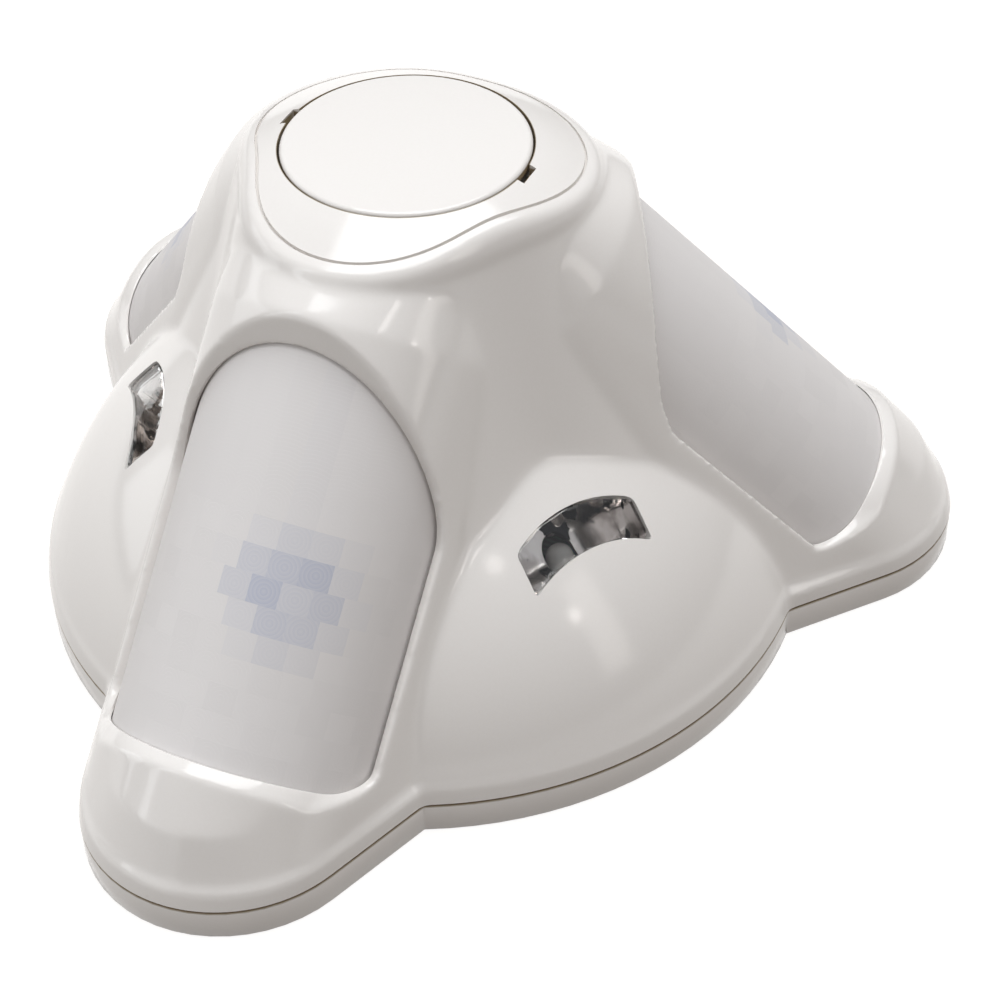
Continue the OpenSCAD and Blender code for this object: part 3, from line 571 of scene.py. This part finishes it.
def tower_radius(turn, out, size):
    rays = [
        out * cos(turn - leg) + sqrt(size ** 2 - (out * sin(turn - leg)) ** 2) for leg in leg_turns
    ]
    return lobe_blend * log(sum(exp(r / lobe_blend) for r in rays))


def crown_height(r):
    return crown_centre + sqrt(crown_r ** 2 - r ** 2)


def lobed_row(out, size, height):
    row = []
    for turn in round_turns:
        r = tower_radius(turn, out, size)
        row.append((r * cos(turn), r * sin(turn), height(turn, r)))
    return row


edge_r = ring_r + groove_w
wall_steps, crown_steps = 12, 11
tower_rows = []
for k in range(wall_steps + 1):
    z = skirt_z + k / wall_steps * (shoulder_z - skirt_z)
    drop = shoulder_z - z
    tower_rows.append(
        lobed_row(lobe_out + lobe_lean * drop, lobe_r + lobe_draft * drop, lambda turn, r: z)
    )
for k in range(1, wall_steps + 1):
    q = pi / 2 * k / wall_steps
    tower_rows.append(lobed_row(
        ring_out + (lobe_out - ring_out) * cos(q), edge_r + (lobe_r - edge_r) * cos(q),
        lambda turn, r: shoulder_z
        + (crown_height(tower_radius(turn, ring_out, edge_r)) - shoulder_z) * sin(q)
    ))
crown_edge = tower_rows[-1]
for k in range(1, crown_steps):
    share = 1 - k / crown_steps
    tower_rows.append([
        (x * share, y * share, crown_height(sqrt(x * x + y * y) * share)) for x, y, z in crown_edge
    ])
tower = skin(tower_rows)

# Leg: a tilted barrel under the lens, a round nose and a foot, wrapped in one hull.
lens_r = 0.0251
lens_slope = radians(47.5)
axis_r, axis_z = 0.0475, 0.0334
lens_half_w, lens_low, lens_up = 0.0246, 0.0325, 0.0109
arch_h, lens_corner = 0.027, 0.0042
lip_t, lip_land, lip_flare = 0.0021, 0.0004, radians(53)
leg_r = lens_r + lip_t
nose_r, nose_z = 0.0203, 0.0185
skirt_ledge = 0.0004
notch_turn = asin((leg_at * sin(leg_taper) + leg_end_r) / dome_edge_r) - leg_taper
leg_root = dome_edge_r * sin(notch_turn) - skirt_draft - skirt_ledge
root_in = 0.002
lens_frame = Matrix.Translation((axis_r, 0, axis_z)) @ Matrix.Rotation(lens_slope, 4, "Y")


def barrel(x0, x1, r, rise=1.0, sides=180):
    """A bar along the lens axis of the leg that points along X, made taller by the rise."""
    bpy.ops.object.select_all(action="DESELECT")
    bpy.ops.mesh.primitive_cylinder_add(vertices=sides, radius=r, depth=x1 - x0)
    bar = bpy.context.object
    bar.data.transform(
        lens_frame @ Matrix.Diagonal((1, 1, rise, 1))
        @ Matrix.Translation(((x0 + x1) / 2, 0, 0)) @ Matrix.Rotation(pi / 2, 4, "Y")
    )
    return bar


def disc(x, z, r):
    bpy.ops.mesh.primitive_circle_add(vertices=120, radius=r, location=(x, 0, z))
    bpy.ops.object.transform_apply(location=True)
    return bpy.context.object


skirt_scale = 1 - skirt_draft / dome_edge_r
bpy.ops.mesh.primitive_plane_add(size=1)
root = bpy.context.object
root_x0, root_x1 = axis_r / 2, dome_edge_r * cos(notch_turn) - root_in
root.data.transform(
    Matrix.Translation(((root_x0 + root_x1) / 2, 0, skirt_z))
    @ Matrix.Diagonal((root_x1 - root_x0, 2 * leg_root, 1, 1))
)
crown_up, crown_rise, crown_t = 0.0055, 1.07, 0.00002
tuck_up, tuck_in = 0.0014, 0.0011
foot_overlap = 0.0004
head_x = -lens_up - arch_h - crown_up
leg = join([
    barrel(0, lens_low + lip_t + lip_land, leg_r),
    barrel(head_x, head_x + crown_t, leg_r, crown_rise),
    disc(lobe_out, shoulder_z + tuck_up, lobe_r - tuck_in),
    disc(leg_at, nose_z, nose_r),
    disc(leg_at * skirt_scale, skirt_z - foot_overlap, leg_end_r * skirt_scale - skirt_ledge),
    root
])
pick(leg)
bpy.ops.object.mode_set(mode="EDIT")
bpy.ops.mesh.select_all(action="SELECT")
bpy.ops.mesh.convex_hull()
bpy.ops.object.mode_set(mode="OBJECT")

# The four forms flow together: a fine remesh makes them one, and smoothing blends their corners.
flow_grain = 0.0006
cover = join([skirt, ball, tower] + turned(leg, leg_turns))
cover.name = "cover_shell"
apply(cover, "REMESH", mode="VOXEL", voxel_size=flow_grain)
apply(cover, "SMOOTH", factor=0.5, iterations=2)


# Lens pocket: a flared lip, cut round the lens and softened at its outer edge.
def lens_outline(grow):
    half, low, corner = lens_half_w + grow, lens_low + grow, lens_corner + grow
    foot = [radians(7.5 * k) for k in range(13)]
    head = [radians(3 * k) for k in range(61)]
    outline = [(low - corner + corner * cos(q), half - corner + corner * sin(q)) for q in foot]
    outline += [(-lens_up - (arch_h + grow) * sin(q), half * cos(q)) for q in head]
    outline += [
        (low - corner + corner * cos(q), corner - half - corner * sin(q)) for q in reversed(foot)
    ]
    outline += [(low, (k / 20 - 1) * (half - corner)) for k in range(1, 40)]
    return outline + outline[:1]


def lens_row(grow, lift):
    return [
        lens_frame @ Vector((edge[0], edge[1], sqrt(lens_r ** 2 - seat[1] ** 2) + lift))
        for seat, edge in zip(lens_outline(0), lens_outline(grow))
    ]


def closed_ends(rows, low, high):
    """Rows with a point of the lens frame added at each end, on which the skin closes."""
    first, last = lens_frame @ Vector(low), lens_frame @ Vector(high)
    return [[first] * len(rows[0])] + rows + [[last] * len(rows[0])]


pocket_rise, pocket_sink = 0.012, 0.0015
pocket_rows = [
    lens_row(0, -pocket_sink), lens_row(0, lip_land),
    lens_row(pocket_rise * tan(lip_flare), lip_land + pocket_rise)
]
pocket = skin(closed_ends(pocket_rows, (0, 0, lens_r / 2), (0, 0, lens_r + 2 * pocket_rise)))
cut(cover, *turned(pocket, leg_turns))
apply(cover, "REMESH", mode="VOXEL", voxel_size=flow_grain)
apply(cover, "SMOOTH", factor=0.5, iterations=6)
apply(cover, "DECIMATE", ratio=0.5)

# Hollow: the wall is even, and the hollow is open below.
skirt_wall, skirt_hollow_z = 0.00245, 0.0085
hollow_low = 0.002
hollow_parts = [skin([plan_ring(skirt_wall, hollow_low), plan_ring(skirt_wall, skirt_hollow_z)])]
bpy.ops.object.select_all(action="DESELECT")
bpy.ops.mesh.primitive_uv_sphere_add(
    segments=120, ring_count=80, radius=dome_r - cover_wall, location=(0, 0, -dome_sink)
)
bpy.ops.object.transform_apply(location=True)
hollow_parts.append(clipped(bpy.context.object, skirt_hollow_z - ball_overlap))
cavity_z = 0.0881
tower_h = shoulder_z - split_z
valley_wall = 1.15 * cover_wall
wall_low = tower_radius(
    dome_turns[0], lobe_out + lobe_lean * tower_h, lobe_r + lobe_draft * tower_h
) - valley_wall
wall_high = tower_radius(dome_turns[0], lobe_out, lobe_r) - valley_wall
wall_top = wall_high - (wall_low - wall_high) * (cavity_z - shoulder_z) / tower_h
bpy.ops.mesh.primitive_cone_add(
    vertices=120, radius1=wall_low, radius2=wall_top, depth=cavity_z - split_z,
    location=(0, 0, (cavity_z + split_z) / 2)
)
bpy.ops.object.transform_apply(location=True)
hollow_parts.append(bpy.context.object)
lens_end, lens_clear = 0.0015, 0.0002
hollow_parts += turned(
    barrel(-lens_up - arch_h - lens_end, lens_low + lens_end, lens_r + lens_clear), leg_turns
)
nose_wall, nose_hollow_z, nose_hollow_r = 0.0035, 0.02, 0.015
bpy.ops.mesh.primitive_cone_add(
    vertices=90, radius1=leg_end_r - nose_wall, radius2=nose_hollow_r,
    depth=nose_hollow_z - hollow_low, location=(leg_at, 0, (nose_hollow_z + hollow_low) / 2)
)
bpy.ops.object.transform_apply(location=True)
hollow_parts += turned(bpy.context.object, leg_turns)
hollow = hollow_parts[0]
for part in hollow_parts[1:]:
    apply(hollow, "BOOLEAN", operation="UNION", object=part, solver="MANIFOLD")
    bpy.data.objects.remove(part)
bpy.ops.object.select_all(action="DESELECT")
boss_r, boss_h, boss_z = 0.006, 0.005, cavity_z - 0.0005
bpy.ops.mesh.primitive_cylinder_add(
    vertices=64, radius=boss_r, depth=boss_h, location=(0, 0, boss_z)
)
bpy.ops.object.transform_apply(location=True)
boss = bpy.context.object
pin_r, pin_at, pin_h, pin_low = 0.0025, 0.056, 0.05, 0.0184
bpy.ops.mesh.primitive_cylinder_add(
    vertices=48, radius=pin_r, depth=pin_h,
    location=(pin_at * cos(dome_turns[0]), pin_at * sin(dome_turns[0]), pin_low + pin_h / 2)
)
bpy.ops.object.transform_apply(location=True)
cut(hollow, boss, bpy.context.object)
cut(cover, hollow)
below_split = 0.3
bpy.ops.mesh.primitive_cube_add(size=below_split, location=(0, 0, split_z - below_split / 2))
bpy.ops.object.transform_apply(location=True)
cut(cover, bpy.context.object)

# Openings: lenses, dome windows, the cap's recess with two pry slots, the screw hole and the
# groove round the raised ring.
opening_gap = 0.0005
opening_sink, opening_rise = 0.004, 0.006
opening_rows = [lens_row(opening_gap, -opening_sink), lens_row(opening_gap, opening_rise)]
opening = skin(closed_ends(opening_rows, (0, 0, lens_r / 2), (0, 0, lens_r + pocket_rise)))
cut(cover, *turned(opening, leg_turns))

window_tilt = radians(40.5)
window_gap = 0.0002
window_half, window_w = 0.0124 + window_gap, 0.008 + 2 * window_gap
window_arc, window_corner = 0.024, 0.0012
window_frame = Matrix.Translation((0, 0, -dome_sink)) @ Matrix.Rotation(window_tilt, 4, "Y")


def window_row(height):
    """Outline of a window: two equal arcs and two straight ends with rounded corners."""
    steps = 24
    corner_steps = 8
    straight = window_half - window_corner

    def arc_x(y, side):
        return window_arc + side * window_w / 2 - sqrt(window_arc ** 2 - y * y)

    def corner(side, end):
        """Rounds from an arc to the straight end, or back, with a curve drawn to the corner."""
        tip = Vector((arc_x(window_half, side), end * window_half))
        on_arc = Vector((arc_x(straight, side), end * straight))
        on_end = tip - Vector((side * window_corner, 0))
        curve = []
        for k in range(corner_steps + 1):
            t = k / corner_steps
            curve.append((1 - t) ** 2 * on_arc + 2 * t * (1 - t) * tip + t * t * on_end)
        return curve

    def arc(side, end):
        return [
            Vector((arc_x(y, side), y))
            for y in (end * straight * k / steps for k in range(1 - steps, steps))
        ]

    ring = arc(1, 1) + corner(1, 1) + corner(-1, 1)[::-1] + arc(-1, -1) + corner(-1, -1) \
        + corner(1, -1)[::-1]
    return [window_frame @ Vector((x, y, height)) for x, y in ring + ring[:1]]


window_hole = skin([window_row(dome_r * 0.85), window_row(dome_r * 1.1)])
cut(cover, *turned(window_hole, dome_turns))

recess_r, recess_z = 0.02235, 0.09055
pry_w, pry_out, pry_d = 0.005, 0.0012, 0.0026
bpy.ops.object.select_all(action="DESELECT")
cutter_h = 0.02
bpy.ops.mesh.primitive_cylinder_add(
    vertices=180, radius=recess_r, depth=cutter_h, location=(0, 0, recess_z + cutter_h / 2)
)
bpy.ops.object.transform_apply(location=True)
recess = bpy.context.object
bpy.ops.mesh.primitive_cube_add(size=1)
pry = bpy.context.object
pry.data.transform(
    Matrix.Translation((0, 0, cap_top - pry_d + cutter_h / 2))
    @ Matrix.Diagonal((2 * (recess_r + pry_out), pry_w, cutter_h, 1))
)
cut(cover, recess)
cut(cover, pry)
screw_hole_r = 0.00165
bpy.ops.mesh.primitive_cylinder_add(
    vertices=48, radius=screw_hole_r, depth=cutter_h, location=(0, 0, cavity_z)
)
bpy.ops.object.transform_apply(location=True)
cut(cover, bpy.context.object)

inner_low = lobed_row(ring_out, ring_r, lambda turn, r: crown_height(r) - groove_d)
outer_low = lobed_row(ring_out, edge_r, lambda turn, r: crown_height(r) - groove_d)
groove_cut = 0.004
inner_up = [(x, y, z + groove_cut) for x, y, z in inner_low]
outer_up = [(x, y, z + groove_cut) for x, y, z in outer_low]
groove = skin([inner_low, outer_low, outer_up, inner_up, inner_low])
cut(cover, groove)
cover_crease = 46
smooth(cover, cover_crease)


def dirt_and_shade_round_the_cap(place):
    """The wall of the recess, just outside the cap, and the pry slots below the crown. Brown is
    painted there as dirt and as the shade in the gap round the cap.
    """
    flat = place.node("ShaderNodeVectorMath", {"operation": "MULTIPLY"}, {0: place, 1: (1, 1, 0)})
    reach = flat.node("ShaderNodeVectorMath", {"operation": "LENGTH"}, {0: flat}, 1)
    level = place.axis(2)
    slot_r = recess_r + pry_out
    gap = 1 - reach.within(recess_r, recess_r + 0.0002)
    in_slot = 1 - level.within(cap_top - 0.0014, cap_top - 0.001)
    slots = (1 - reach.within(slot_r, slot_r + 0.0002)) * in_slot
    return gap.math("MAXIMUM", gap, slots) * reach.within(cap_r - 0.0006, cap_r) \
        * level.within(cavity_z, recess_z)


cover_abs = glossy_abs("cover_abs", shell_colour, shell_shade, shell_gloss, dirt_and_shade_round_the_cap)
settle(cover, cover_abs, "cover", "shell", "front_cover")


# Lenses: milky polyethylene sheets, bent to a cylinder and pressed into the cover from inside.
# Fresnel cells are moulded on them. The bluish look that the dark sensor behind gives the middle
# cells is painted on the sheet as shade, set off towards the camera's side.
lens_t = 0.001
lens_flange = 0.0012
in_mm = 1000


def fresnel_sheet(name):
    made, shader, place = finish(name, Roughness=0.5, Specular_IOR_Level=0.35, IOR=1.51)
    surface = Wire(place.socket.node.outputs["UV"])
    across, down = surface.axis(0), surface.axis(1)
    cell_w, cell_h, top_row, ring_gap = 5.4, 4.8, -3.0, 0.7
    row = down.math("FLOOR", down / cell_h)
    row = row.math("MAXIMUM", row, top_row)
    slip = row.node("ShaderNodeTexWhiteNoise", {"noise_dimensions": "1D"}, {"W": row})
    shifted = across / cell_w + slip
    column = shifted.math("FLOOR", shifted)
    cell = row.node("ShaderNodeCombineXYZ", {}, {0: column, 1: row})
    chance = cell.node("ShaderNodeTexWhiteNoise", {"noise_dimensions": "2D"}, {"Vector": cell})
    x = (shifted - column - 0.5) * cell_w
    y = down - (row + 0.5) * cell_h
    from_centre = x.math("SQRT", x * x + y * y)
    rings = from_centre.math("FRACT", from_centre / ring_gap)
    # Painted shade: a bluish patch of cells where the dark sensor shows through the sheet, its
    # middle set off towards the camera's side.
    sensor_across, sensor_down = 9.0, 1.0
    u = (column + 0.5 - slip) * cell_w - sensor_across
    v = (row + 0.5) * cell_h - sensor_down
    reach = u.math("SQRT", u * u + v * v)
    painted_sensor_shade = (1 - reach.within(4.0, 15.0)) * (chance * 0.5 + 0.5)
    tone = (chance * 0.4).mix((0.77, 0.742, 0.728, 1), (0.71, 0.684, 0.672, 1))
    tone_with_sensor_shade = (painted_sensor_shade * (rings * 0.3 + 0.7)).mix(tone, (0.5, 0.52, 0.61, 1))
    relief = rings * 0.6 + chance
    feed(
        shader, Base_Color=tone_with_sensor_shade, Roughness=chance * 0.06 + 0.46, Normal=relief.bump(0.00003, 0.5)
    )
    return made


lens_milk = fresnel_sheet("milky_polyethylene")
for number, turn in enumerate(leg_turns, 1):
    rows = []
    uvs = []
    half_turn, steps_down, steps_round = radians(87), 60, 96
    for j in range(steps_down + 1):
        row = []
        for i in range(steps_round + 1):
            around = half_turn * (1 - 2 * i / steps_round)
            y = lens_r * sin(around)
            reach = sqrt(max(0, 1 - (y / (lens_half_w + lens_flange)) ** 2))
            head = -lens_up - (arch_h + lens_flange) * reach
            x = lens_low + lens_flange + (head - lens_low - lens_flange) * j / steps_down
            row.append(lens_frame @ Vector((x, y, lens_r * cos(around))))
            uvs.append((lens_r * around * in_mm, x * in_mm))
        rows.append(row)
    lens = skin(rows, filled=False)
    lens.name = f"lens_{number}_sheet"
    layer = lens.data.uv_layers.active.data
    for loop in lens.data.loops:
        layer[loop.index].uv = uvs[loop.vertex_index]
    pick(lens)
    bpy.ops.object.mode_set(mode="EDIT")
    bpy.ops.mesh.select_all(action="SELECT")
    bpy.ops.mesh.normals_make_consistent(inside=False)
    bpy.ops.object.mode_set(mode="OBJECT")
    middle_face = lens.data.polygons[len(lens.data.polygons) // 2]
    outward = lens_frame.to_3x3() @ Vector((0, 0, 1))
    inwards = -1 if middle_face.normal.dot(outward) > 0 else 1
    apply(lens, "SOLIDIFY", thickness=lens_t, offset=inwards)
    lens.data.transform(Matrix.Rotation(turn, 4, "Z"))
    smooth(lens, 40)
    settle(lens, lens_milk, "cover", "lens", f"lens_{number}")


# Dome windows: clear acrylic, let into the domes flush and held by a flange behind.
# Behind each sits a vacuum-metallised reflector round the indicator lamp, with dark reflections of
# its facets painted on as black squares.
acrylic, acrylic_shader, acrylic_place = finish(
    "clear_acrylic", Base_Color=(0.97, 0.98, 0.98, 1), Transmission_Weight=1.0, IOR=1.49
)
feed(acrylic_shader, Roughness=acrylic_place.noise(0.003, 2) * 0.04 + 0.01)
chrome, chrome_shader, chrome_place = finish("metallised_mirror", Metallic=1.0)
ripples = chrome_place.noise(0.008, 1)
painted_dark_reflections = square_patches(chrome_place, 480.0, 0)
smoke = chrome_place.noise(0.005, 2).within(0.4, 0.62)
bright = smoke.mix((0.93, 0.88, 0.85, 1), (0.58, 0.53, 0.5, 1))
# Painted reflection: the near-black squares stand for facets that reflect the dark inside.
mirror_tone = (painted_dark_reflections > 0.9).mix(bright, (0.012, 0.012, 0.014, 1))
feed(
    chrome_shader, Base_Color=mirror_tone, Roughness=ripples * 0.1 + 0.1,
    Normal=ripples.bump(0.00035)
)
for dome in (1, 2, 3):
    eased(f"window_{dome}", acrylic, "window")
    eased(f"reflector_{dome}", chrome, "reflector", 0.0001)


# Cover screw: one zinc-plated steel screw with a pan head, in the middle of the recess.
# It pulls the cover down on the carrier's post, into the brass insert.
eased("cover_screw", zinc, "screw_steel")


# Cap: a round ABS disc that snaps into the recess and hides the screw.
# Its top is flat and bare, and its edge is eased.
cap_edge, cap_edge_steps = 0.0003, 3
# The cap's side below its top edge is painted brown, as dirt and as the shade in the gap round it.
cap_abs = glossy_abs(
    "cap_abs", shell_colour, shell_shade, shell_gloss,
    lambda place: 1 - place.axis(2).within(cap_top - 0.0008, cap_top - 0.0005)
)
eased("cap", cap_abs, "shell", cap_edge, cap_edge_steps)
